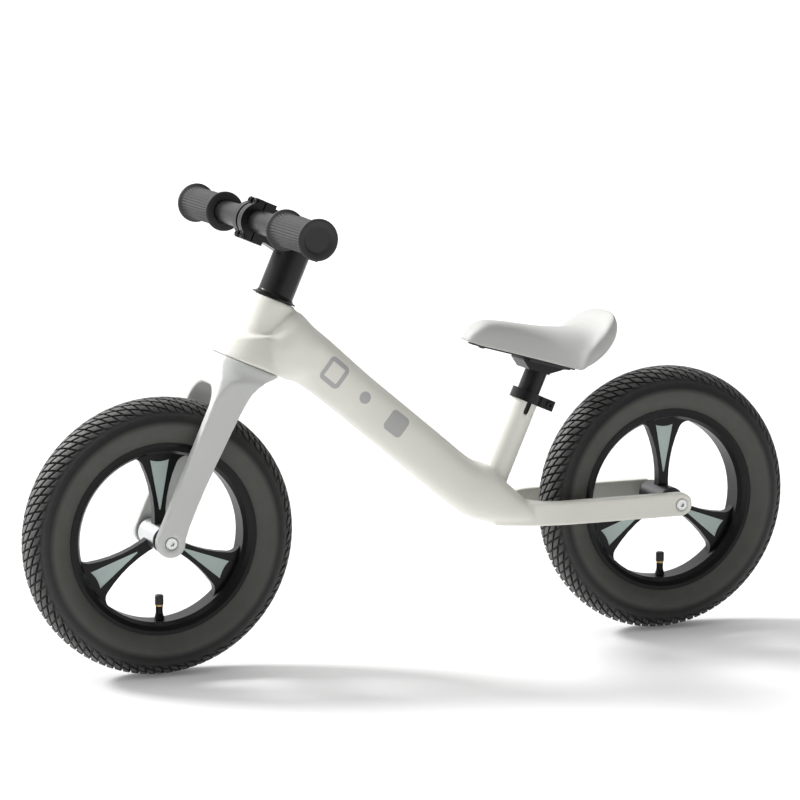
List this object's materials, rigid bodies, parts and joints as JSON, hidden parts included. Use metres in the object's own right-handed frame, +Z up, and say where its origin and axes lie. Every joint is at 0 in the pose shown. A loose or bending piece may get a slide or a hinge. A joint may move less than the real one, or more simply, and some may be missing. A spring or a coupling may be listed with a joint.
{
  "type": "balance bike",
  "caption": "Child's balance bike without pedals: one-piece cast frame with a sloping beam, alloy fork, spoked disc wheels with air tyres, straight bar and a raised-tail saddle.",
  "frame": {"origin": "on the floor, midway between the two wheel centres, on the bike's centre plane", "axes": "+X from the front wheel to the rear wheel, so the bike faces -X; +Y to the rider's right; +Z up"},
  "size_m": [0.91, 0.386, 0.5154],
  "materials": {
    "frame_paint": "satin",
    "fork_paint": "satin",
    "satin_black": "satin",
    "black_plastic": "matte",
    "black_bolts": "satin",
    "fastener_steel": "satin",
    "pale_bolts": "satin",
    "bearing_steel": "polished",
    "tube_steel": "satin",
    "saddle_foam": "matte",
    "grip_rubber": "matte",
    "wheel_nylon": "gloss",
    "hub_alloy": "satin",
    "panel_plastic": "satin",
    "tyre_rubber": "matte",
    "tube_rubber": "matte",
    "valve_rubber": "matte"
  },
  "bodies": {
    "frame": {"frame": "frame_paint", "upper_bearing": "bearing_steel", "lower_bearing": "bearing_steel", "seat_clamp": "satin_black", "seat_clamp_bolt": "fastener_steel", "rear_axle": "fastener_steel", "rear_axle_spacers": "black_plastic", "rear_axle_bolts": "pale_bolts"},
    "seat": {"seat_post": "satin_black", "seat_post_plug": "black_plastic", "saddle_bracket": "black_plastic", "saddle_base": "black_plastic", "saddle_screws": "fastener_steel", "saddle_cover": "saddle_foam"},
    "fork": {"fork": "fork_paint", "steerer_tube": "tube_steel", "crown_race": "bearing_steel", "headset_cover": "satin_black", "stem": "satin_black", "stem_faceplate": "satin_black", "faceplate_bolts": "black_bolts", "stem_pinch_bolts": "black_bolts", "star_nut": "fastener_steel", "stem_top_cap": "satin_black", "top_cap_bolt": "black_bolts", "handlebar": "satin_black", "grip_left": "grip_rubber", "grip_right": "grip_rubber", "front_axle": "fastener_steel", "front_axle_spacers": "black_plastic", "front_axle_bolts": "pale_bolts"},
    "front_wheel": {"front_wheel": "wheel_nylon", "front_hub": "hub_alloy", "front_spoke_panels": "panel_plastic", "front_bearings": "bearing_steel", "front_dust_caps": "black_plastic", "front_tyre": "tyre_rubber", "front_inner_tube": "tube_rubber", "front_valve": "valve_rubber", "front_valve_cap": "black_plastic"},
    "rear_wheel": {"rear_wheel": "wheel_nylon", "rear_hub": "hub_alloy", "rear_spoke_panels": "panel_plastic", "rear_bearings": "bearing_steel", "rear_dust_caps": "black_plastic", "rear_tyre": "tyre_rubber", "rear_inner_tube": "tube_rubber", "rear_valve": "valve_rubber", "rear_valve_cap": "black_plastic"}
  },
  "joints": [
    {"name": "steering", "type": "hinge", "parent": "frame", "child": "fork", "pos_m": [-0.20034, 0, 0.33417], "axis": [0.3987, 0, 0.9171], "range_deg": [-60, 60]},
    {"name": "front_wheel_spin", "type": "hinge", "parent": "fork", "child": "front_wheel", "pos_m": [-0.303, 0, 0.152], "axis": [0, 1, 0], "continuous": true},
    {"name": "rear_wheel_spin", "type": "hinge", "parent": "frame", "child": "rear_wheel", "pos_m": [0.303, 0, 0.152], "axis": [0, 1, 0], "continuous": true},
    {"name": "seat_height", "type": "slide", "parent": "frame", "child": "seat", "axis": [0.3987, 0, 0.9171], "range_m": [-0.012, 0.05]}
  ]
}
